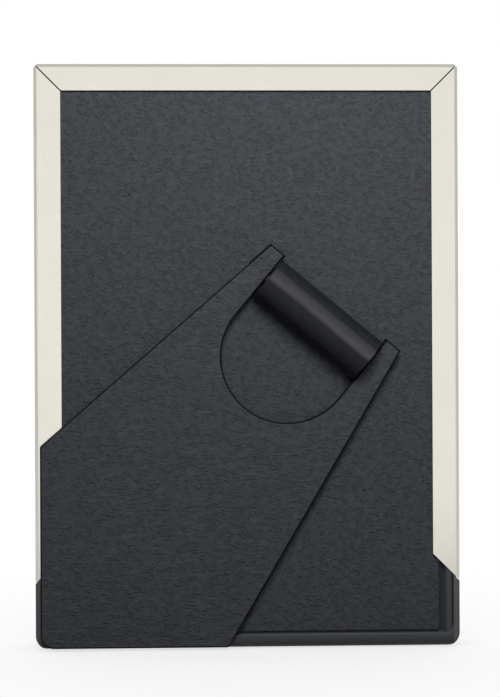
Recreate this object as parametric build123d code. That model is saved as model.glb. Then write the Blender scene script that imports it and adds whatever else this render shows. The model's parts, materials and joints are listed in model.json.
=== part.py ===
from build123d import *
from math import cos, radians, sin, tan
import os

# Easel back photo frame: a metal channel frame whose moulded back slides in from below
# Lengths are in millimetres. X runs to the right seen from the back, Z is up, the picture faces +Y.
# A depth is measured from the front face of the frame towards the back.
# At the hinge, u runs along the pin and v along the middle of the leg, away from its foot.

# The print and what holds it flat
PRINT_WIDTH = 130.0
PRINT_HEIGHT = 180.0
PRINT_THICKNESS = 0.3
GLASS_THICKNESS = 2.0
GLASS_BORDER = 0.25
HEAD_ROOM = 0.8
CARD_THICKNESS = 1.8
CARD_INSET = 0.5
PACK_GAP = 0.05

# Metal rails and the keys in their corners
SHEET = 0.6
BEND_RADIUS = 1.4
CORNER_EASE = 0.1
GLASS_PLAY = 1.65
FACE_WIDTH = 7.8
FLANGE_WIDTH = 8.6
MITRE_ANGLE = 45
MITRE_SEAM = 0.1
MITRE_GAP = 0.4
SHOULDER_HEIGHT = 21.1
KEY_SHEET = 0.8
KEY_LENGTH = 12.0
KEY_WIDTH = 3.0
KEY_FIT = 0.1

# Moulded back: a thin panel with a raised field, ribs inside and a base that closes the frame
FLANGE_FIT = 0.25
CHANNEL_FIT = 0.4
PANEL_WALL = 2.0
FIELD_RISE = 1.0
FIELD_LAP = 2.1
FIELD_CORNER = 1.2
FIELD_EDGE = 0.3
RIB_WALL = 1.2
RIB_FIT = 0.25
RIB_COLUMNS = 4
RIB_ROWS = 5
BASE_FIT = 0.3
BASE_WALL = 2.3
BASE_FLOOR = 4.7
BASE_CREASE = 0.4
BASE_CORNER = 4.4
FOOT_ROUND = 3.3
LIP_SHARE = 0.8
RIDGE_WIDTH = 2.3
RIDGE_DROP = 0.4
RIDGE_RISE = 0.55

# Hinge barrel, its pin, washers and screws
HINGE_OFF_MIDDLE = 22.28
HINGE_HEIGHT = 104.25
BARREL_RADIUS = 7.6
BARREL_SEAT = 6.0
BARREL_CHAMFER = 0.4
BARREL_GAP = 0.4
BARREL_FIT = 0.15
CRADLE_WALL = 1.5
PIN_RADIUS = 0.75
PIN_FIT = 0.05
PIN_PRESS = 0.02
PIN_INSET = 0.8
PIN_CHAMFER = 0.2
WASHER_RADIUS = 1.3
WASHER_THICKNESS = 0.35
SCREW_RADIUS = 1.0
SCREW_FIT = 0.15
SCREW_BITE = 0.02
SCREW_SPREAD = 12.0
SCREW_TIP_WALL = 1.6
HEAD_RADIUS = 1.9
HEAD_THICKNESS = 1.2
HEAD_CHAMFER = 0.5
HEAD_FIT = 0.4

# Two-way easel leg, folded flat against the back
LEG_ANGLE = 50.3
LEG_TAPER = 9.31
LEG_WALL = 2.0
LEG_FIT = 0.25
LEG_INSET = 1.9
LEG_FLOOR_FIT = 0.8
LEG_CORNER = 4.2
LEG_NOSE = 1.0
LEG_EDGE = 0.6
LEG_RIM = 2.2
LEG_CORE = 0.8
LEG_RIB = 1.6
LEG_RIB_PITCH = 27.0
FINGER_RADIUS = 20.9
FINGER_REACH = 15.15
EAR_WIDTH = 5.7
EAR_FIT = 0.2
HEEL_LENGTH = 9.05
HEEL_WALL = 1.2
OPEN_ANGLE = 40
WELL_FIT = 0.3
STOP_FIT = 0.15

# How far a cut runs past what it cuts
OVERRUN = 1.0

# Sizes that follow from the ones above
GLASS_WIDTH = PRINT_WIDTH + 2 * GLASS_BORDER
GLASS_HEIGHT = PRINT_HEIGHT + 2 * GLASS_BORDER
FRAME_WIDTH = GLASS_WIDTH + 2 * (GLASS_PLAY + SHEET)
FRAME_HEIGHT = GLASS_HEIGHT + 2 * (GLASS_PLAY + SHEET) + HEAD_ROOM
HALF_WIDTH = FRAME_WIDTH / 2
CORNER_RADIUS = BEND_RADIUS + CORNER_EASE
PACK_BOTTOM = SHEET + KEY_SHEET + PACK_GAP

GLASS_DEPTH = SHEET + PACK_GAP
PRINT_DEPTH = GLASS_DEPTH + GLASS_THICKNESS + PACK_GAP
CARD_DEPTH = PRINT_DEPTH + PRINT_THICKNESS + PACK_GAP
PACK_END = CARD_DEPTH + CARD_THICKNESS
SEAT_DEPTH = PACK_END + HEAD_FIT + HEAD_THICKNESS
HINGE_DEPTH = SEAT_DEPTH + CRADLE_WALL + BARREL_FIT + BARREL_SEAT
EAR_RADIUS = (FLANGE_FIT + SHEET + LEG_FIT + LEG_WALL - EAR_FIT) / 2
FIELD_DEPTH = HINGE_DEPTH - EAR_RADIUS - EAR_FIT
PANEL_DEPTH = FIELD_DEPTH - PANEL_WALL
MARGIN_DEPTH = FIELD_DEPTH - FIELD_RISE
RAIL_DEPTH = FIELD_DEPTH + FLANGE_FIT + SHEET
LEG_DEPTH = RAIL_DEPTH + LEG_FIT
FRONT_Y = (HINGE_DEPTH + BARREL_RADIUS) / 2

FIELD_HALF = HALF_WIDTH - FLANGE_WIDTH + FIELD_LAP
FIELD_BOTTOM = BASE_FLOOR + BASE_CREASE
FIELD_TOP = FRAME_HEIGHT - FLANGE_WIDTH + FIELD_LAP
BARREL_LENGTH = 2 * (FINGER_RADIUS - BARREL_GAP)
HEEL_RISE = EAR_RADIUS - HEEL_WALL
HEEL_DROP = HEEL_LENGTH * sin(radians(OPEN_ANGLE)) - HEEL_RISE * cos(radians(OPEN_ANGLE))
WELL_DEPTH = HINGE_DEPTH - HEEL_DROP - STOP_FIT
WELL_INSIDE = FINGER_RADIUS - WELL_FIT
WELL_END = HEEL_LENGTH + WELL_FIT
SCREW_TIP = HINGE_DEPTH - PIN_RADIUS - PIN_FIT - SCREW_TIP_WALL

# Directions and places of the sloping hinge
ALONG_PIN = Vector(sin(radians(LEG_ANGLE)), 0, -cos(radians(LEG_ANGLE)))
ALONG_LEG = Vector(cos(radians(LEG_ANGLE)), 0, sin(radians(LEG_ANGLE)))
HINGE_POINT = Vector(HINGE_OFF_MIDDLE, FRONT_Y - HINGE_DEPTH, HINGE_HEIGHT)
HINGE_PLACE = Pos(HINGE_OFF_MIDDLE, HINGE_HEIGHT) * Rot(0, 0, LEG_ANGLE - 90)


def slab(outline, start, end):
    # An outline drawn as seen from the back, made solid between two depths
    return extrude(Plane.XZ.offset(start - FRONT_Y) * outline, end - start)


def bar(profile, start, end):
    # A profile across the hinge, drawn along v and outwards, made solid between two places on the pin
    plane = Plane(HINGE_POINT + ALONG_PIN * start, x_dir=ALONG_LEG, z_dir=ALONG_PIN)
    return extrude(plane * profile, end - start)


def area(left, low, right, high):
    return Pos((left + right) / 2, (low + high) / 2) * Rectangle(right - left, high - low)


def outline_of(corners):
    return make_face(Polyline(corners, close=True))


def rear_face(solid):
    return solid.faces().sort_by(Axis.Y)[0]


def front_face(solid):
    return solid.faces().sort_by(Axis.Y)[-1]


def frame_outline(corner):
    return Pos(0, FRAME_HEIGHT / 2) * RectangleRounded(FRAME_WIDTH, FRAME_HEIGHT, corner)


def frame_opening(border):
    return area(border - HALF_WIDTH, border, HALF_WIDTH - border, FRAME_HEIGHT - border)


def below_shoulders(fit):
    # Everything under the sloping ends of the side flanges, like the end wall of a house
    side = HALF_WIDTH + OVERRUN
    eaves = SHOULDER_HEIGHT - OVERRUN - fit
    ridge = eaves + side * tan(radians(MITRE_ANGLE))
    return outline_of([(-side, -OVERRUN), (side, -OVERRUN), (side, eaves), (0, ridge), (-side, eaves)])


def leg_half(v):
    # Half the width of the tapering leg
    return FINGER_RADIUS + EAR_WIDTH + tan(radians(LEG_TAPER)) * (HEEL_LENGTH - v)


def mitres(width, start, end):
    # Four narrow cuts along the diagonals of the corners
    reach = 2 * (FACE_WIDTH + FLANGE_WIDTH)
    corners = ((-1, 0, 1), (1, 0, -1), (1, FRAME_HEIGHT, 1), (-1, FRAME_HEIGHT, -1))
    cuts = []
    for side, height, turn in corners:
        line = Rot(0, 0, turn * MITRE_ANGLE) * Rectangle(reach, width)
        cuts.append(slab(Pos(side * HALF_WIDTH, height) * line, start, end))
    return cuts


def rails():
    # Sheet metal folded into a channel along every side, parted at the mitres
    shell = slab(frame_outline(CORNER_RADIUS), 0, RAIL_DEPTH)
    shell = fillet(front_face(shell).edges() + rear_face(shell).edges(), BEND_RADIUS)
    hollow = slab(frame_opening(SHEET), SHEET, RAIL_DEPTH - SHEET)
    hollow = fillet(front_face(hollow).edges() + rear_face(hollow).edges(), BEND_RADIUS - SHEET)
    shell -= hollow
    shell -= slab(frame_opening(FACE_WIDTH), -OVERRUN, PACK_END)
    shell -= slab(frame_opening(FLANGE_WIDTH), PACK_END, RAIL_DEPTH + OVERRUN)
    shell -= slab(below_shoulders(0), PACK_END, RAIL_DEPTH + OVERRUN)
    shell -= mitres(MITRE_SEAM, -OVERRUN, RAIL_DEPTH + OVERRUN)
    shell -= mitres(MITRE_GAP, RAIL_DEPTH - BEND_RADIUS, RAIL_DEPTH + OVERRUN)
    across = shell.solids().sort_by(Axis.X)
    upright = shell.solids().sort_by(Axis.Z)
    return {
        "top_rail": upright[-1],
        "left_rail": across[0],
        "right_rail": across[-1],
        "bottom_rail": upright[0],
    }


def corner_keys():
    # Bent angles in the corners of the channel, which hold the rails square
    start = BEND_RADIUS + KEY_FIT
    middle = -KEY_LENGTH / 2
    square = Rectangle(KEY_LENGTH, KEY_LENGTH)
    outer = Pos(middle, middle) * square
    outer = fillet(outer.vertices().sort_by_distance((0, 0, 0))[0], CORNER_RADIUS)
    inner = Pos(middle - KEY_SHEET, middle - KEY_SHEET) * square
    inner = fillet(inner.vertices().sort_by_distance((0, 0, 0))[0], CORNER_RADIUS - SHEET)
    angle = outer - inner
    high = FRAME_HEIGHT - SHEET
    side = HALF_WIDTH - SHEET
    places = {
        "top_right": Pos(side, high),
        "top_left": Pos(-side, high) * Rot(0, 0, 90),
        "bottom_left": Pos(-side, SHEET) * Rot(0, 0, 180),
        "bottom_right": Pos(side, SHEET) * Rot(0, 0, 270),
    }
    keys = {}
    for name, place in places.items():
        keys["corner_key_" + name] = slab(place * angle, start, start + KEY_WIDTH)
    return keys


def layer(width, height, start, thickness):
    # One sheet of the pack, centred on the glass
    low = PACK_BOTTOM + (GLASS_HEIGHT - height) / 2
    return slab(area(-width / 2, low, width / 2, low + height), start, start + thickness)


def picture_pack():
    card_width = GLASS_WIDTH - 2 * CARD_INSET
    card_height = GLASS_HEIGHT - 2 * CARD_INSET
    return {
        "glass": layer(GLASS_WIDTH, GLASS_HEIGHT, GLASS_DEPTH, GLASS_THICKNESS),
        "print": layer(PRINT_WIDTH, PRINT_HEIGHT, PRINT_DEPTH, PRINT_THICKNESS),
        "filler_card": layer(card_width, card_height, CARD_DEPTH, CARD_THICKNESS),
    }


def panel_ribs():
    # A grid of ribs inside the panel that presses the card against the glass
    half = FIELD_HALF - PANEL_WALL - RIB_WALL / 2
    low = FIELD_BOTTOM + PANEL_WALL + RIB_WALL / 2
    high = FIELD_TOP - PANEL_WALL - RIB_WALL / 2
    start = PACK_END + RIB_FIT
    end = FIELD_DEPTH - PANEL_WALL / 2
    column = Rectangle(RIB_WALL, high - low + RIB_WALL)
    row = Rectangle(2 * half + RIB_WALL, RIB_WALL)
    ribs = []
    for index in range(RIB_COLUMNS):
        x = half * (2 * index / (RIB_COLUMNS - 1) - 1)
        ribs.append(slab(Pos(x, (low + high) / 2) * column, start, end))
    for index in range(RIB_ROWS):
        z = low + (high - low) * index / (RIB_ROWS - 1)
        ribs.append(slab(Pos(0, z) * row, start, end))
    return ribs


def foot_corner():
    # What a full rounding takes off the lower rear edge of the base
    middle = RAIL_DEPTH - FOOT_ROUND
    corner = area(FRONT_Y - RAIL_DEPTH - OVERRUN, -OVERRUN, FRONT_Y - middle, FOOT_ROUND)
    corner -= Pos(FRONT_Y - middle, FOOT_ROUND) * Circle(FOOT_ROUND)
    return extrude(Plane.YZ.offset(-HALF_WIDTH - OVERRUN) * corner, FRAME_WIDTH + 2 * OVERRUN)


def base():
    # The walls below the shoulders, flush with the metal, and a low round ridge inside each side wall
    start = PACK_END + BASE_FIT
    below = below_shoulders(BASE_FIT)
    above_floor = area(-HALF_WIDTH, BASE_FLOOR / 2, HALF_WIDTH, FRAME_HEIGHT)
    inside = HALF_WIDTH - BASE_WALL
    hole = area(-inside, BASE_FLOOR, inside, FRAME_HEIGHT - BASE_FLOOR)
    hole = fillet(hole.vertices(), BASE_WALL)
    ring = slab(frame_outline(BASE_CORNER) - hole, start, RAIL_DEPTH)
    ring = fillet(rear_face(ring).outer_wire().edges(), BEND_RADIUS)
    lip = LIP_SHARE * (BASE_WALL - BEND_RADIUS)
    ring = fillet(rear_face(ring).inner_wires()[0].edges(), lip)
    walls = (ring & slab(below, start, RAIL_DEPTH)) - foot_corner()
    crest = RAIL_DEPTH - RIDGE_DROP
    shelf = crest - RIDGE_RISE
    radius = (RIDGE_WIDTH ** 2 / 4 + RIDGE_RISE ** 2) / (2 * RIDGE_RISE)
    for side in (-1, 1):
        middle = side * (inside - RIDGE_WIDTH / 2)
        strip = Pos(middle, FRAME_HEIGHT / 2) * Rectangle(RIDGE_WIDTH, FRAME_HEIGHT)
        rod = Pos(middle, FRONT_Y - crest + radius, FRAME_HEIGHT / 2) * Cylinder(radius, FRAME_HEIGHT)
        ridge = slab(strip, PANEL_DEPTH, shelf) + (slab(strip, shelf, crest) & rod)
        walls += ridge & slab(below & above_floor, PANEL_DEPTH, RAIL_DEPTH)
    return walls


def barrel_section(fit):
    # Round, with a flat seat on the panel that keeps the barrel from turning
    radius = BARREL_RADIUS + fit
    return Circle(radius) & area(-radius, -BARREL_SEAT - fit, radius, radius)


def hinge_boss():
    # A block inside the panel that carries the barrel and the wells under the heels
    side = leg_half(0) + WELL_FIT + CRADLE_WALL
    low = -(BARREL_RADIUS + BARREL_FIT + CRADLE_WALL)
    block = HINGE_PLACE * area(-side, low, side, WELL_END + CRADLE_WALL)
    return slab(block, SEAT_DEPTH, FIELD_DEPTH - PANEL_WALL / 2)


def heel_well(side):
    # A pocket that lets one heel of the leg swing in and stops it at the open angle
    corners = [
        (side * WELL_INSIDE, 0),
        (side * WELL_INSIDE, WELL_END),
        (side * (leg_half(WELL_END) + WELL_FIT), WELL_END),
        (side * (leg_half(0) + WELL_FIT), 0),
    ]
    return slab(HINGE_PLACE * outline_of(corners), WELL_DEPTH, FIELD_DEPTH + OVERRUN)


def screw_places():
    return [HINGE_PLACE * Pos(side * SCREW_SPREAD, 0) for side in (-1, 1)]


def back_panel():
    edge = HALF_WIDTH - SHEET - CHANNEL_FIT
    margin = area(-edge, BASE_FLOOR / 2, edge, FRAME_HEIGHT - SHEET - CHANNEL_FIT)
    field = area(-FIELD_HALF, FIELD_BOTTOM, FIELD_HALF, FIELD_TOP)
    field = fillet(field.vertices(), FIELD_CORNER)
    raised = slab(field, PANEL_DEPTH, FIELD_DEPTH)
    raised = fillet(rear_face(raised).edges(), FIELD_EDGE)
    panel = slab(margin, MARGIN_DEPTH - PANEL_WALL, MARGIN_DEPTH) + raised
    panel -= slab(offset(field, -PANEL_WALL), MARGIN_DEPTH - PANEL_WALL - OVERRUN, PANEL_DEPTH)
    panel += panel_ribs()
    panel += hinge_boss()
    panel += base()
    panel -= bar(barrel_section(BARREL_FIT), -WELL_INSIDE, WELL_INSIDE)
    for side in (-1, 1):
        panel -= heel_well(side)
    for place in screw_places():
        panel -= slab(place * Circle(SCREW_RADIUS + SCREW_FIT), SEAT_DEPTH - OVERRUN, HINGE_DEPTH)
        panel -= slab(place * Circle(HEAD_RADIUS + HEAD_FIT), PACK_END, SEAT_DEPTH)
    return panel


def hinge_barrel():
    barrel = bar(barrel_section(0), -BARREL_LENGTH / 2, BARREL_LENGTH / 2)
    ends = barrel.faces().sort_by(Axis(HINGE_POINT, ALONG_PIN))
    barrel = chamfer(ends[0].edges() + ends[-1].edges(), BARREL_CHAMFER)
    barrel -= bar(Circle(PIN_RADIUS + PIN_FIT), -BARREL_LENGTH, BARREL_LENGTH)
    for place in screw_places():
        barrel -= slab(place * Circle(SCREW_RADIUS + SCREW_BITE), SEAT_DEPTH, SCREW_TIP)
    return barrel


def hinge_screws():
    # Round-headed screws put in from inside the panel
    screws = []
    for place in screw_places():
        head = slab(place * Circle(HEAD_RADIUS), SEAT_DEPTH - HEAD_THICKNESS, SEAT_DEPTH)
        head = chamfer(front_face(head).edges(), HEAD_CHAMFER)
        screws.append(head + slab(place * Circle(SCREW_RADIUS), SEAT_DEPTH, SCREW_TIP))
    return Compound(children=screws)


def hinge_pin():
    half = leg_half(0) - PIN_INSET
    pin = bar(Circle(PIN_RADIUS), -half, half)
    return chamfer(pin.edges().filter_by(GeomType.CIRCLE), PIN_CHAMFER)


def hinge_washers():
    ring = Circle(WASHER_RADIUS) - Circle(PIN_RADIUS + PIN_FIT)
    inside = FINGER_RADIUS - WASHER_THICKNESS
    return Compound(children=[bar(ring, -FINGER_RADIUS, -inside), bar(ring, inside, FINGER_RADIUS)])


def leg_outline():
    # A strip that widens from the hinge, cut off along the side and the foot of the frame
    far = -FRAME_HEIGHT
    strip = outline_of([
        (-leg_half(HEEL_LENGTH), HEEL_LENGTH),
        (leg_half(HEEL_LENGTH), HEEL_LENGTH),
        (leg_half(far), far),
        (-leg_half(far), far),
    ])
    corner = (LEG_INSET - HALF_WIDTH, LEG_FLOOR_FIT)
    outline = HINGE_PLACE * strip & area(*corner, HALF_WIDTH, FRAME_HEIGHT)
    points = outline.vertices().sort_by_distance((*corner, 0))
    outline = fillet(points[0], LEG_CORNER)
    noses = outline.vertices().sort_by_distance((*corner, 0))[2:]
    return fillet(noses, LEG_NOSE)


def finger_gap(margin):
    # The round-ended opening between the ears
    radius = FINGER_RADIUS + margin
    straight = area(-radius, -FINGER_REACH, radius, HEEL_LENGTH + OVERRUN)
    return HINGE_PLACE * (straight + Pos(0, -FINGER_REACH) * Circle(radius))


def leg_core(outline):
    # Shallow pockets in the hidden side of the leg, parted by a spine and cross ribs
    far = -FRAME_HEIGHT
    below = area(-FRAME_WIDTH, far, FRAME_WIDTH, -FINGER_REACH)
    bars = area(-LEG_RIB / 2, far, LEG_RIB / 2, 0)
    place = -FINGER_REACH
    while place > far:
        bars += area(-FRAME_WIDTH, place - LEG_RIB / 2, FRAME_WIDTH, place + LEG_RIB / 2)
        place -= LEG_RIB_PITCH
    pockets = offset(outline, -LEG_RIM) & HINGE_PLACE * below
    return pockets - HINGE_PLACE * bars - finger_gap(LEG_RIM)


def easel_leg():
    outline = leg_outline()
    leg = slab(outline - finger_gap(0), LEG_DEPTH, LEG_DEPTH + LEG_WALL)
    leg = fillet(rear_face(leg).edges(), LEG_EDGE)
    leg -= slab(leg_core(outline), LEG_DEPTH - OVERRUN, LEG_DEPTH + LEG_CORE)
    underside = LEG_DEPTH - HINGE_DEPTH
    knuckle = Circle(EAR_RADIUS) & area(-EAR_RADIUS, -EAR_RADIUS, EAR_RADIUS, 0)
    bevel = outline_of([
        (EAR_RADIUS, underside),
        (HEEL_LENGTH, HEEL_RISE),
        (HEEL_LENGTH + OVERRUN, HEEL_RISE),
        (HEEL_LENGTH + OVERRUN, underside - OVERRUN),
        (EAR_RADIUS, underside - OVERRUN),
    ])
    outside = FINGER_RADIUS + EAR_WIDTH
    for start, end in ((FINGER_RADIUS, outside), (-outside, -FINGER_RADIUS)):
        leg += bar(knuckle, start, end)
    side = leg_half(0)
    leg -= bar(bevel, -side, side)
    leg -= bar(Circle(PIN_RADIUS + PIN_PRESS), -side - OVERRUN, side + OVERRUN)
    return leg


pieces = {
    **rails(),
    **corner_keys(),
    **picture_pack(),
    "back_panel": back_panel(),
    "hinge_barrel": hinge_barrel(),
    "hinge_screws": hinge_screws(),
    "hinge_pin": hinge_pin(),
    "hinge_washers": hinge_washers(),
    "easel_leg": easel_leg(),
}

os.makedirs("parts", exist_ok=True)
for name, piece in pieces.items():
    export_step(piece, f"parts/{name}.step")
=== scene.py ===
import bpy
import json
import math
import numpy as np
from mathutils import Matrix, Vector


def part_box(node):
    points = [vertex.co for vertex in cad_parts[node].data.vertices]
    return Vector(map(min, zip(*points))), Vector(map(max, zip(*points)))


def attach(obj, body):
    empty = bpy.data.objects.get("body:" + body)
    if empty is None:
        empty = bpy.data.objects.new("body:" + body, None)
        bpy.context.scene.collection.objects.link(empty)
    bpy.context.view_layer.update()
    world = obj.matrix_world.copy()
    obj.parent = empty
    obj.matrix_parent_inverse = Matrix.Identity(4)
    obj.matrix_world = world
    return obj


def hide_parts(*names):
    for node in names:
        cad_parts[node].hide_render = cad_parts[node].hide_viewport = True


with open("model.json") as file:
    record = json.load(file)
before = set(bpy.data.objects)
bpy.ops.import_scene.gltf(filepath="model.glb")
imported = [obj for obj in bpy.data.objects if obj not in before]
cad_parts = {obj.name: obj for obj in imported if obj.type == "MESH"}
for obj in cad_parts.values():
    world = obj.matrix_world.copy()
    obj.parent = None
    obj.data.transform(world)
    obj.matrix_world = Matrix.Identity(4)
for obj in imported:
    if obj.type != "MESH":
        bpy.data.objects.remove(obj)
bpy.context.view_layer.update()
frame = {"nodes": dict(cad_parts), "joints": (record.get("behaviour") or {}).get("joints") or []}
nodes = frame["nodes"]
hinge = next(joint for joint in frame["joints"] if joint["name"] == "leg_hinge")
hingeSpot = np.array(hinge["pos_m"])
hingeAxis = np.array(hinge["axis"])
scene = bpy.context.scene
scene.view_settings.view_transform = "Standard"
print("frame loaded,", len(nodes), "pieces")


class Wire:
    # a socket that can stand in a sum: each sign adds one Math node to its tree
    def __init__(self, finish, socket):
        self.finish = finish
        self.socket = socket

    def sign(self, operation, *values):
        return self.finish.add("Math", {"operation": operation}, dict(enumerate(values)))

    def __add__(self, other):
        return self.sign("ADD", self, other)

    def __radd__(self, other):
        return self.sign("ADD", other, self)

    def __sub__(self, other):
        return self.sign("SUBTRACT", self, other)

    def __rsub__(self, other):
        return self.sign("SUBTRACT", other, self)

    def __mul__(self, other):
        return self.sign("MULTIPLY", self, other)

    def __rmul__(self, other):
        return self.sign("MULTIPLY", other, self)

    def __truediv__(self, other):
        return self.sign("DIVIDE", self, other)

    def __rtruediv__(self, other):
        return self.sign("DIVIDE", other, self)

    def __abs__(self):
        return self.sign("ABSOLUTE", self)

    def __or__(self, other):  # the larger of two masks
        return self.sign("MAXIMUM", self, other)

    def __ror__(self, other):
        return self.sign("MAXIMUM", other, self)


class Finish:
    # a material, or the world, while its nodes are put together
    def __init__(self, owner):
        owner.use_nodes = True
        self.owner = owner
        self.tree = owner.node_tree
        self.tree.nodes.clear()

    def add(self, kind, settings, sockets, out=0):
        made = self.tree.nodes.new("ShaderNode" + kind)
        for key, value in settings.items():
            setattr(made, key, value)
        for key, value in sockets.items():
            spot = made.inputs[key] if isinstance(key, int) else self.spotNamed(made, key)
            if isinstance(value, Wire):
                self.tree.links.new(value.socket, spot)
            else:
                plain = spot.type == "RGBA" and len(value) == 3
                spot.default_value = (*value, 1) if plain else value
        return Wire(self, made.outputs[out]) if made.outputs else None

    def spotNamed(self, made, key):
        return next(spot for spot in made.inputs if key in (spot.identifier, spot.name))

    def outputs(self, wire):  # every output of the node that a wire comes from, by name
        return {socket.name: Wire(self, socket) for socket in wire.socket.node.outputs}

    def place(self):
        return self.add("TexCoord", {}, {}, "Object")

    def parts(self, vector):
        return list(self.outputs(self.add("SeparateXYZ", {}, {"Vector": vector})).values())

    def rays(self):
        return self.outputs(self.add("LightPath", {}, {}))

    def mapped(self, vector, scale, turn=(0, 0, 0)):
        return self.add("Mapping", {}, {"Vector": vector, "Scale": scale, "Rotation": turn})

    def noise(self, vector, scale, detail=2.0):
        return self.add("TexNoise", {}, {"Vector": vector, "Scale": scale, "Detail": detail})

    def cells(self, vector, scale, feature="F1"):
        return self.add("TexVoronoi", {"feature": feature}, {"Vector": vector, "Scale": scale})

    def chance(self, cells):  # one number from 0 to 1 for each cell
        return self.parts(self.outputs(cells)["Color"])[0]

    def step(self, value, low, high, start=0.0, end=1.0):  # soft step from start at low to end at high
        span = {"Value": value, 1: low, 2: high, 3: start, 4: end}
        return self.add("MapRange", {"interpolation_type": "SMOOTHSTEP"}, span)

    def fall(self, value, low, high):  # soft step down
        return self.step(value, low, high, 1.0, 0.0)

    def between(self, pair, share):  # from the first of two numbers to the second
        return pair[0] + (pair[1] - pair[0]) * share

    def mix(self, first, second, share):  # colours
        sockets = {"Factor_Float": share, "A_Color": first, "B_Color": second}
        return self.add("Mix", {"data_type": "RGBA"}, sockets, 2)

    def bump(self, height, strength, distance):
        return self.add("Bump", {}, {"Height": height, "Strength": strength, "Distance": distance})

    def shade(self, values):
        shader = self.add("BsdfPrincipled", {}, values)
        self.add("OutputMaterial", {}, {"Surface": shader})
        return self.owner


def newFinish(name):
    return Finish(bpy.data.materials.new(name))


def dress(material, *names):
    for name in names:
        mesh = nodes[name].data
        mesh.materials.clear()
        mesh.materials.append(material)


# satin rails: warm silver, brushed along each rail
railLook = {
    "pale": (0.87, 0.845, 0.76),
    "deep": (0.815, 0.79, 0.705),
    "hairAcross": 5200.0,
    "hairAlong": 70.0,
    "hairDetail": 3.0,
    "hairShare": 0.65,
    "cloud": 55.0,
    "toneSpan": (0.25, 0.75),
    "roughness": (0.22, 0.32),
    "bump": (0.08, 0.00002),
}


def satinMetal(name, along):
    f = newFinish(name)
    place = f.place()
    scale = [railLook["hairAcross"]] * 3
    scale[along] = railLook["hairAlong"]
    hair = f.noise(f.mapped(place, scale), 1.0, railLook["hairDetail"])
    cloud = f.noise(place, railLook["cloud"])
    share = railLook["hairShare"]
    tone = f.step(hair * share + cloud * (1 - share), *railLook["toneSpan"])
    return f.shade({
        "Base Color": f.mix(railLook["deep"], railLook["pale"], tone),
        "Metallic": 1.0,
        "Roughness": f.between(railLook["roughness"], hair),
        "Normal": f.bump(hair, *railLook["bump"]),
    })


dress(satinMetal("satinAcross", 0), "top_rail", "bottom_rail")
dress(satinMetal("satinUpright", 2), "left_rail", "right_rail")
print("rails brushed")


# charcoal plastic with a fine leather grain; the base is left smooth, and the leg's cut edges are
# painted near-black as painted shade along the leg's outline
plasticLook = {
    "hill": (0.0540, 0.0575, 0.0645),
    "crease": (0.045, 0.048, 0.0545),
    # painted shade: the colour the deep pocks are darkened towards
    "pockShade": (0.030, 0.032, 0.037),
    # painted highlight: lighter colour on the knobs and the tops of the folds, standing in for glints
    "crest": (0.078, 0.083, 0.092),
    "specular": 0.07,
    "roughness": (0.68, 0.50),  # in a crease, on a hill
    "smoothRoughness": (0.36, 0.48),
    "peel": 260.0,
    "peelDepth": 0.12,
    "bump": (1.0, 0.00017),
}
grainLook = {
    "wrinkle": {"size": 1000.0, "half": 0.13, "depth": 0.8},
    "patch": {"size": 480.0, "span": (0.42, 0.56)},
    "pit": {"size": 850.0, "span": (0.04, 0.34), "chance": (0.45, 0.5), "depth": 0.9},
    "fold": {"size": 700.0, "span": (0.54, 0.70), "share": 0.45},
    "cell": {"size": 430.0},
    "pock": {"reach": 0.27, "chance": (0.72, 0.76), "depth": 1.3, "share": 0.5},
    "knob": {"reach": 0.24, "chance": (0.24, 0.28), "rise": 0.5, "share": 0.75},
    "fine": {"size": 5200.0, "share": 0.3},
}
backLook = {
    "stretch": 1.5,
    "swell": 1.4,
    "plain": (0.050, 0.0535, 0.060),
    # painted highlight colour for the band along the side walls' rear edge
    "wornAndSheen": (0.085, 0.088, 0.093),
    # painted shade colour for the groove between the field and the ridge
    "grooveShade": (0.031, 0.0335, 0.038),
    "coat": (0.60, 1.0),
    "gloss": 0.28,
}
# the leg's cut edges, sides and underside all take this near-black colour: painted shade along the leg's
# outline
legLookEdgeShade = {
    "stretch": 2.8,
    "swell": 1.1,
    "plain": (0.009, 0.0095, 0.011),
    "wornAndSheen": (0.009, 0.0095, 0.011),
    "grooveShade": (0.009, 0.0095, 0.011),
    "coat": (0.0, 0.0),
    "gloss": 0.34,
}
panelField = {"half": 0.0608, "low": 0.0053, "high": 0.1791, "rear": -0.0014, "edge": 0.0002}
baseWall = {"inside": 0.0657, "outside": 0.0667, "edge": 0.0003}
baseGroove = {"inside": 0.0610, "outside": 0.0622, "edge": 0.0009, "low": 0.0049}
legEdge = 0.00003


def leatherGrain(f, place, stretch):
    # wrinkles run where a drawn-out noise crosses its middle, broken into short lengths;
    # pits sit in half of the small cells, pocks and knobs in a few of the larger ones;
    # low folds lie under them all
    look = grainLook["wrinkle"]
    size = look["size"]
    wave = f.noise(f.mapped(place, (size / stretch, size, size)), 1.0)
    patch = grainLook["patch"]
    broken = f.step(f.noise(place, patch["size"]), *patch["span"])
    wrinkle = f.fall(abs(wave - 0.5), 0.0, look["half"]) * broken
    look = grainLook["pit"]
    away = f.cells(place, look["size"])
    pit = f.fall(away, *look["span"]) * f.step(f.chance(away), *look["chance"])
    size = grainLook["fold"]["size"]
    swell = f.noise(f.mapped(place, (size / stretch, size, size)), 1.0)
    away = f.cells(place, grainLook["cell"]["size"])
    rare = f.chance(away)
    look = grainLook["pock"]
    pock = f.fall(away, 0.0, look["reach"]) * f.step(rare, *look["chance"])
    look = grainLook["knob"]
    knob = f.fall(away, 0.0, look["reach"]) * f.fall(rare, *look["chance"])
    return wrinkle, pit, swell, pock, knob


def paintedWallSheen(f, x):
    # painted highlight along the rear edge of the base's side walls; the same band also takes more coat
    soft = baseWall["edge"]
    inner = f.step(abs(x), baseWall["inside"] - soft, baseWall["inside"])
    return inner * f.fall(abs(x), baseWall["outside"], baseWall["outside"] + soft)


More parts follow.
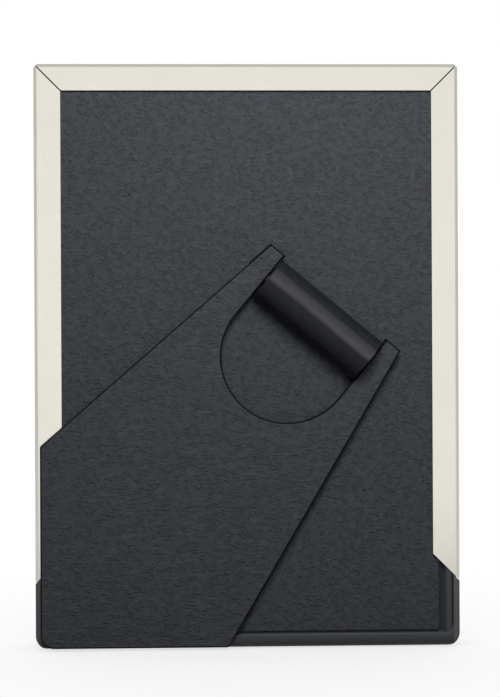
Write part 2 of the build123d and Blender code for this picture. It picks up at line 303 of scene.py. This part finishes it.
def paintedGrooveShade(f, x, z):
    # painted shade between the field and the ridge on each side, above the base's floor
    soft = baseWall["edge"]
    fade = baseGroove["outside"] + baseGroove["edge"]
    inner = f.step(abs(x), baseGroove["inside"] - soft, baseGroove["inside"])
    outer = f.fall(abs(x), baseGroove["outside"], fade)
    return inner * outer * f.step(z, baseGroove["low"], baseGroove["low"] + soft)


def grainedPlastic(name, look, grainMask):
    f = newFinish(name)
    place = f.place()
    x, y, z = f.parts(place)
    mask = grainMask(f, x, y, z)
    wrinkle, pit, swell, pock, knob = leatherGrain(f, place, look["stretch"])
    relief = 1 - grainLook["wrinkle"]["depth"] * wrinkle - grainLook["pit"]["depth"] * pit
    fine = f.noise(place, grainLook["fine"]["size"])
    tone = f.step(relief + grainLook["fine"]["share"] * (fine - 0.5), 0.0, 1.0)
    raised = grainLook["knob"]["rise"] * knob - grainLook["pock"]["depth"] * pock
    grain = relief + look["swell"] * swell + raised
    peel = f.noise(place, plasticLook["peel"])
    height = mask * grain + (1 - mask) * plasticLook["peelDepth"] * peel
    fold = grainLook["fold"]
    # painted highlight: where the knobs and the fold tops take the lighter crest colour
    light = grainLook["knob"]["share"] * knob | fold["share"] * f.step(swell, *fold["span"])
    grained = f.mix(plasticLook["crease"], plasticLook["hill"], tone)
    # painted shade darkening the pock centres
    grained = f.mix(grained, plasticLook["pockShade"], grainLook["pock"]["share"] * pock)
    grained = f.mix(grained, plasticLook["crest"], light)
    wallSheen = paintedWallSheen(f, x)
    # painted shade in the groove beside the field
    grooveShade = paintedGrooveShade(f, x, z)
    # the smooth colour takes a painted highlight along the side walls' rear edge and painted shade in
    # the grooves
    smooth = f.mix(f.mix(look["plain"], look["wornAndSheen"], wallSheen), look["grooveShade"], grooveShade)
    dry = f.between(plasticLook["roughness"], tone)
    sleek = f.between(plasticLook["smoothRoughness"], peel)
    return f.shade({
        "Base Color": f.mix(smooth, grained, mask),
        "Roughness": mask * dry + (1 - mask) * sleek,
        "Specular IOR Level": plasticLook["specular"],
        "Coat Weight": (1 - mask) * (1 - grooveShade) * f.between(look["coat"], wallSheen),
        "Coat Roughness": look["gloss"],
        "Normal": f.bump(height, *plasticLook["bump"]),
    })


def fieldMask(f, x, y, z):
    # inside the raised field, on its rear face only
    soft = panelField["edge"]
    across = f.fall(abs(x), panelField["half"] - soft, panelField["half"])
    above = f.step(z, panelField["low"], panelField["low"] + soft)
    below = f.fall(z, panelField["high"] - soft, panelField["high"])
    rear = f.fall(y, panelField["rear"] - soft, panelField["rear"])
    return across * above * below * rear


def legMask(f, x, y, z):
    # the flat outer face only
    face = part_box("easel_leg")[0].y
    return f.fall(y, face, face + legEdge)


dress(grainedPlastic("grainedBack", backLook, fieldMask), "back_panel")
dress(grainedPlastic("grainedLeg", legLookEdgeShade, legMask), "easel_leg")
print("panel and leg grained")


# smooth barrel, rubbed bright a little above its crest by the hand that opens the leg
barrelLook = {
    "colour": (0.012, 0.013, 0.0155),
    "wornAndSheen": (0.016, 0.017, 0.0195),
    "roughness": (0.32, 0.42),
    "specular": 0.10,
    "coat": (0.05, 1.0),
    "gloss": 0.24,
    "coatIor": 1.6,
    "tilt": 15.0,
    "crest": (0.0, 0.00048),
    "wander": 0.0001,
    "rub": 90.0,
    "rubDetail": 3.0,
    "rubSpan": (0.4, 0.7),
    "peel": 320.0,
    "bump": (0.12, 0.00008),
}


def smoothPlastic(name):
    f = newFinish(name)
    place = f.place()
    x, y, z = f.parts(place)
    peel = f.noise(place, barrelLook["peel"])
    rub = f.step(f.noise(place, barrelLook["rub"], barrelLook["rubDetail"]), *barrelLook["rubSpan"])
    tilt = math.radians(barrelLook["tilt"])
    radius = hingeSpot[1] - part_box("hinge_barrel")[0].y
    upwards = (x - hingeSpot[0]) * hingeAxis[2] - (z - hingeSpot[2]) * hingeAxis[0]
    below = radius - (hingeSpot[1] - y) * math.cos(tilt) - upwards * math.sin(tilt)
    crest = f.fall(below + barrelLook["wander"] * (rub - 0.5), *barrelLook["crest"])
    return f.shade({
        "Base Color": f.mix(barrelLook["colour"], barrelLook["wornAndSheen"], rub),
        "Roughness": f.between(barrelLook["roughness"], rub),
        "Specular IOR Level": barrelLook["specular"],
        "Coat Weight": f.between(barrelLook["coat"], crest),
        "Coat Roughness": barrelLook["gloss"],
        "Coat IOR": barrelLook["coatIor"],
        "Normal": f.bump(peel, *barrelLook["bump"]),
    })


dress(smoothPlastic("barrelPlastic"), "hinge_barrel")
print("barrel rubbed")


# float glass, clear, a little green towards its cut edges
glassLook = {
    "clear": (0.985, 0.995, 0.99),
    "edge": (0.62, 0.80, 0.74),
    "rim": 0.0004,
    "smear": 35.0,
    "smearDetail": 3.0,
    "smearSpan": (0.55, 0.8),
    "smearRoughness": 0.012,
    "cutRoughness": 0.25,
    "ior": 1.52,
}


def clearGlass(name):
    f = newFinish(name)
    place = f.place()
    x, _, z = f.parts(place)
    low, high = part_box("glass")
    rim = glassLook["rim"]
    side = f.step(abs(x), high.x - rim, high.x)
    foot = f.fall(z, low.z, low.z + rim)
    head = f.step(z, high.z - rim, high.z)
    cut = side | foot | head
    smear = f.step(f.noise(place, glassLook["smear"], glassLook["smearDetail"]), *glassLook["smearSpan"])
    return f.shade({
        "Base Color": f.mix(glassLook["clear"], glassLook["edge"], cut),
        "Roughness": glassLook["smearRoughness"] * smear + glassLook["cutRoughness"] * cut,
        "IOR": glassLook["ior"],
        "Transmission Weight": 1.0,
    })


dress(clearGlass("frameGlass"), "glass")


# photo paper: plain, off-white, with a fine pearl surface
paperLook = {
    "pale": (0.80, 0.79, 0.76),
    "warm": (0.75, 0.735, 0.70),
    "pearl": 2600.0,
    "cloud": 45.0,
    "cloudDetail": 3.0,
    "roughness": (0.32, 0.48),
    "bump": (0.10, 0.00003),
}


def photoPaper(name):
    f = newFinish(name)
    place = f.place()
    pearl = f.cells(place, paperLook["pearl"], "SMOOTH_F1")
    cloud = f.noise(place, paperLook["cloud"], paperLook["cloudDetail"])
    return f.shade({
        "Base Color": f.mix(paperLook["warm"], paperLook["pale"], cloud),
        "Roughness": f.between(paperLook["roughness"], pearl),
        "Normal": f.bump(pearl, *paperLook["bump"]),
    })


dress(photoPaper("photoPaper"), "print")


# grey-brown board: pressed fibres and a few dark flecks
boardLook = {
    "pale": (0.36, 0.31, 0.25),
    "dark": (0.24, 0.20, 0.155),
    "fleck": (0.09, 0.07, 0.05),
    "fibreScale": (700.0, 2600.0, 2600.0),
    "fibreTurn": (0.0, 0.35, 0.0),
    "fibreDetail": 4.0,
    "fibreShare": 0.6,
    "fleckScale": (900.0, 1500.0, 500.0),
    "fleckTurn": (0.0, 0.9, 0.0),
    "fleckDetail": 1.0,
    "fleckSpan": (0.70, 0.76),
    "cloud": 60.0,
    "cloudDetail": 3.0,
    "toneSpan": (0.3, 0.7),
    "roughness": (0.82, 0.94),
    "bump": (0.35, 0.00006),
}


def greyBoard(name):
    f = newFinish(name)
    place = f.place()
    lying = f.mapped(place, boardLook["fibreScale"], boardLook["fibreTurn"])
    fibre = f.noise(lying, 1.0, boardLook["fibreDetail"])
    cloud = f.noise(place, boardLook["cloud"], boardLook["cloudDetail"])
    strewn = f.mapped(place, boardLook["fleckScale"], boardLook["fleckTurn"])
    fleck = f.step(f.noise(strewn, 1.0, boardLook["fleckDetail"]), *boardLook["fleckSpan"])
    share = boardLook["fibreShare"]
    tone = f.step(share * fibre + (1 - share) * cloud, *boardLook["toneSpan"])
    board = f.mix(boardLook["dark"], boardLook["pale"], tone)
    return f.shade({
        "Base Color": f.mix(board, boardLook["fleck"], fleck),
        "Roughness": f.between(boardLook["roughness"], fibre),
        "Normal": f.bump(fibre, *boardLook["bump"]),
    })


dress(greyBoard("greyBoard"), "filler_card")
print("glass, print and card finished")


# zinc on the keys and the screws
zincLook = {
    "pale": (0.62, 0.63, 0.65),
    "dark": (0.44, 0.45, 0.47),
    "spangle": 900.0,
    "spangleShare": 0.65,
    "scratchScale": (2500.0, 300.0, 2500.0),
    "scratchTurn": (0.0, 0.5, 0.0),
    "scratchDetail": 3.0,
    "roughness": (0.30, 0.52),
    "bump": (0.12, 0.00002),
}


def zincSteel(name):
    f = newFinish(name)
    place = f.place()
    grey = f.chance(f.cells(place, zincLook["spangle"]))
    drawn = f.mapped(place, zincLook["scratchScale"], zincLook["scratchTurn"])
    scratch = f.noise(drawn, 1.0, zincLook["scratchDetail"])
    share = zincLook["spangleShare"]
    tone = share * grey + (1 - share) * scratch
    return f.shade({
        "Base Color": f.mix(zincLook["dark"], zincLook["pale"], tone),
        "Metallic": 1.0,
        "Roughness": f.between(zincLook["roughness"], grey),
        "Normal": f.bump(scratch, *zincLook["bump"]),
    })


zinc = zincSteel("zincSteel")
dress(zinc, "corner_key_top_left", "corner_key_top_right")
dress(zinc, "corner_key_bottom_left", "corner_key_bottom_right")


# ground steel on the pin
pinLook = {
    "pale": (0.60, 0.60, 0.60),
    "dark": (0.44, 0.45, 0.47),
    "ringScale": (6000.0, 200.0, 200.0),
    "tone": (0.4, 1.0),
    "roughness": (0.20, 0.35),
    "bump": (0.10, 0.00001),
}


def groundSteel(name, axis):
    # fine rings round the pin, from noise squeezed along it
    f = newFinish(name)
    slope = math.atan2(axis[2], axis[0])
    rings = f.noise(f.mapped(f.place(), pinLook["ringScale"], (0.0, slope, 0.0)), 1.0)
    return f.shade({
        "Base Color": f.mix(pinLook["dark"], pinLook["pale"], f.between(pinLook["tone"], rings)),
        "Metallic": 1.0,
        "Roughness": f.between(pinLook["roughness"], rings),
        "Normal": f.bump(rings, *pinLook["bump"]),
    })


dress(groundSteel("groundSteel", hingeAxis), "hinge_pin")


# black nylon washers
washerLook = {
    "pale": (0.030, 0.030, 0.031),
    "dark": (0.014, 0.014, 0.015),
    "cloud": 900.0,
    "cloudDetail": 3.0,
    "roughness": (0.42, 0.62),
    "bump": (0.15, 0.00003),
}


def blackNylon(name):
    f = newFinish(name)
    cloud = f.noise(f.place(), washerLook["cloud"], washerLook["cloudDetail"])
    return f.shade({
        "Base Color": f.mix(washerLook["dark"], washerLook["pale"], cloud),
        "Roughness": f.between(washerLook["roughness"], cloud),
        "Normal": f.bump(cloud, *washerLook["bump"]),
    })


dress(blackNylon("blackNylon"), "hinge_washers")
print("steel and nylon finished")


def gridFaces(rows, columns):
    # quads between neighbouring rows and columns, the last column joined to the first
    row, column = np.meshgrid(np.arange(rows - 1), np.arange(columns), indexing="ij")
    after = (column + 1) % columns
    here, below = row * columns, (row + 1) * columns
    quads = [here + column, here + after, below + after, below + column]
    return np.stack(quads, axis=-1).reshape(-1, 4)


def meshPiece(name, points, faces, smooth=True):
    mesh = bpy.data.meshes.new(name)
    mesh.from_pydata(points.reshape(-1, 3), [], faces)
    mesh.validate()
    mesh.polygons.foreach_set("use_smooth", np.full(len(mesh.polygons), smooth))
    mesh.update()
    piece = bpy.data.objects.new(name, mesh)
    scene.collection.objects.link(piece)
    return piece


# the two round-headed screws behind the barrel, seen when the back is out
screwLook = {
    "spread": 0.012,
    "headRadius": 0.0019,
    "headThickness": 0.0012,
    "headRim": 0.7,
    "crown": 0.0005,
    "neck": 0.0001,
    "shankRadius": 0.00098,
    "coreRadius": 0.00074,
    "pitch": 0.0008,
    "ridgeHalf": 0.32,
    "tipLength": 0.0007,
    "tipStart": 0.6,
    "recessReach": 0.00115,
    "recessHalf": 0.00026,
    "recessDepth": 0.00075,
    "recessTaper": (1.15, 0.5),
    "armEdge": 0.00012,
    "reachEdge": 0.00018,
    "around": 96,
    "topRows": 44,
    "shankRows": 70,
}


def screwSurface(front, tip):
    # turned about Y: radius and depth go from the middle of the head out to its rim, in under it
    # and down the shank; the head's top is a dome, sunk by a cross wherever a point lies near
    # either arm and inside its reach; the shank's radius follows a helix: core plus a ridge that
    # rises and falls once in each pitch
    look = screwLook
    head, seat, length = look["headRadius"], look["headThickness"], front - tip
    turn = np.linspace(0, 2 * math.pi, look["around"], endpoint=False)
    share = np.linspace(0, 1, look["topRows"])
    dome = look["crown"] * share ** 2 * (1 + share ** 4) / 2
    radius = np.concatenate([head * share, [head, head, look["shankRadius"]]])
    depth = np.concatenate([dome, [seat * look["headRim"], seat, seat]])
    radius, angle = np.meshgrid(radius, turn, indexing="ij")
    depth = np.repeat(depth[:, None], len(turn), axis=1)
    across, along = np.abs(radius * np.cos(angle)), np.abs(radius * np.sin(angle))
    offArm = look["recessHalf"] - np.minimum(across, along)
    inArm = np.clip(offArm / look["armEdge"] + 0.5, 0, 1)
    inReach = np.clip((look["recessReach"] - radius) / look["reachEdge"] + 0.5, 0, 1)
    full, loss = look["recessTaper"]
    taper = np.clip(full - loss * radius / look["recessReach"], 0, 1)
    onTop = (np.arange(len(depth)) < len(share))[:, None]
    depth = depth + onTop * inArm * inReach * taper * look["recessDepth"]
    shank = np.linspace(seat + look["neck"], length - look["tipLength"], look["shankRows"])
    shankDepth, shankAngle = np.meshgrid(shank, turn, indexing="ij")
    phase = (shankDepth / look["pitch"] - shankAngle / (2 * math.pi)) % 1
    ridge = np.clip(1 - np.abs(phase - 0.5) / look["ridgeHalf"], 0, 1)
    core = look["coreRadius"]
    shankRadius = core + (look["shankRadius"] - core) * ridge
    end = np.array([[core, length - look["tipLength"] * look["tipStart"]], [0.0, length]])
    endRadius = np.repeat(end[:, :1], len(turn), axis=1)
    endDepth = np.repeat(end[:, 1:], len(turn), axis=1)
    radius = np.concatenate([radius, shankRadius, endRadius])
    depth = np.concatenate([depth, shankDepth, endDepth])
    angle = np.repeat(turn[None, :], len(radius), axis=0)
    return np.stack([radius * np.cos(angle), front - depth, radius * np.sin(angle)], axis=-1)


def makeScrews():
    low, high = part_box("hinge_screws")
    shape = screwSurface(high.y, low.y)
    rows, columns = shape.shape[:2]
    faces = gridFaces(rows, columns)
    sides = np.array([-1.0, 1.0])[:, None] * screwLook["spread"] * hingeAxis
    centres = (hingeSpot + sides) * np.array([1.0, 0.0, 1.0])
    points = (shape.reshape(1, -1, 3) + centres[:, None, :]).reshape(-1, 3)
    both = np.concatenate([faces, faces + rows * columns])
    screws = meshPiece("barrelScrews", points, both)
    screws.data.materials.append(zinc)
    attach(screws, "back")
    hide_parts("hinge_screws")


makeScrews()
print("screws cut")


# a white studio, a little grey to the sides and above where metal mirrors it
studioLook = {
    "white": (1, 1, 1),
    "side": 0.60,
    "sideSpan": (0.70, 0.985),
    "fill": (0.97, 0.985, 1.0),
    "fillLevel": 0.03,
}
# pale floor: the white behind it shows through, so that a back pulled down and out is still seen,
# and the object's soft shadow stays
floorLook = {
    "radius": 6.0,
    "rings": 8,
    "spokes": 64,
    "drop": 0.0001,
    "colour": (0.34, 0.34, 0.34),
    "shade": (0.70, 0.70, 0.70),
    "shadeReach": 0.16,
    "mirror": (0.25, 0.65),  # close to the object, on the easel side and on the picture side
    "mirrorTurn": (-0.02, 0.04),
    "mirrorReach": (0.05, 0.24),
}


def makeFloor():
    # rings about the origin: the radius grows evenly and the height stays just under the base
    rings, spokes = floorLook["rings"], floorLook["spokes"]
    outwards = np.linspace(0, floorLook["radius"], rings)
    turn = np.linspace(0, 2 * math.pi, spokes, endpoint=False)
    radius, angle = np.meshgrid(outwards, turn, indexing="ij")
    height = np.full_like(radius, -floorLook["drop"])
    points = np.stack([radius * np.cos(angle), radius * np.sin(angle), height], axis=-1)
    floor = meshPiece("floor", points, gridFaces(rings, spokes), False)
    f = newFinish("paleFloor")
    place = f.place()
    y = f.parts(place)[1]
    reach = f.add("VectorMath", {"operation": "LENGTH"}, {0: place}, "Value")
    rays = f.rays()
    through = rays["Is Camera Ray"] | rays["Is Transmission Ray"] | rays["Is Shadow Ray"]
    ahead = f.step(abs(y) / reach, *studioLook["sideSpan"], studioLook["side"], 1.0)
    close = f.step(y, *floorLook["mirrorTurn"], *floorLook["mirror"])
    mirrored = rays["Is Glossy Ray"] * f.step(reach, *floorLook["mirrorReach"], close, 1.0) * ahead
    lit = f.add("BsdfDiffuse", {}, {"Color": floorLook["colour"]})
    white = f.add("Emission", {}, {"Color": studioLook["white"], "Strength": 1.0})
    pale = f.add("MixShader", {}, {0: mirrored, 1: lit, 2: white})
    openSky = f.add("AmbientOcclusion", {}, {"Distance": floorLook["shadeReach"]}, "AO")
    shadow = f.mix(floorLook["shade"], studioLook["white"], openSky)
    clear = f.add("BsdfTransparent", {}, {"Color": shadow})
    both = f.add("MixShader", {}, {0: through, 1: pale, 2: clear})
    f.add("OutputMaterial", {}, {"Surface": both})
    floor.data.materials.append(f.owner)


def makeWorld():
    # white behind everything that is seen or mirrored, soft fill for the rest
    world = bpy.data.worlds.new("studio")
    scene.world = world
    f = Finish(world)
    rays = f.rays()
    straight = rays["Is Camera Ray"] | rays["Is Transmission Ray"]
    y = f.parts(f.add("TexCoord", {}, {}, "Generated"))[1]
    level = f.step(abs(y), *studioLook["sideSpan"], studioLook["side"], 1.0)
    white = f.add("Background", {}, {"Color": studioLook["white"], "Strength": straight | level})
    fill = f.add("Background", {}, {"Color": studioLook["fill"], "Strength": studioLook["fillLevel"]})
    both = f.add("MixShader", {}, {0: straight | rays["Is Glossy Ray"], 1: fill, 2: white})
    f.add("OutputWorld", {}, {"Surface": both})


lampLook = {
    "key": {"at": (0.03, -0.235, 0.29), "aim": (0.0, 0.0, 0.11), "size": (0.20, 0.14), "power": 1.02},
    "front": {"at": (0.0, 0.55, 0.45), "aim": (0.0, 0.0, 0.09), "size": (0.60, 0.50), "power": 3.4},
}


def makeLamps():
    for name, look in lampLook.items():
        lamp = bpy.data.lights.new(name, "AREA")
        lamp.shape = "RECTANGLE"
        lamp.size, lamp.size_y = look["size"]
        lamp.energy = look["power"]
        holder = bpy.data.objects.new(name, lamp)
        holder.location = look["at"]
        sight = Vector(look["aim"]) - Vector(look["at"])
        holder.rotation_euler = sight.to_track_quat("-Z", "Y").to_euler()
        holder.visible_glossy = False  # soft light only, no lamp mirrored in metal or glass
        scene.collection.objects.link(holder)


# almost straight at the back, level; the span is what the picture's height takes in at the rear flanges
cameraLook = {
    "centre": (0.00083, 0.09525),
    "distance": 0.45,
    "flange": -0.00245,
    "span": 0.22125,
    "turn": -1.5,
    "roll": 0.27,
    "sensor": 24.0,
}


def makeCamera():
    lens = bpy.data.cameras.new("camera")
    lens.sensor_fit = "VERTICAL"
    lens.sensor_height = cameraLook["sensor"]
    lens.lens = lens.sensor_height * cameraLook["distance"] / cameraLook["span"]
    camera = bpy.data.objects.new("camera", lens)
    across, up = cameraLook["centre"]
    turn, roll = math.radians(cameraLook["turn"]), math.radians(cameraLook["roll"])
    reach = Vector((math.sin(turn), -math.cos(turn), 0)) * cameraLook["distance"]
    camera.location = Vector((across, cameraLook["flange"], up)) + reach
    camera.rotation_euler = (math.pi / 2, roll, turn)
    scene.collection.objects.link(camera)
    scene.camera = camera


makeFloor()
makeWorld()
makeLamps()
makeCamera()
print("floor, light and camera set")
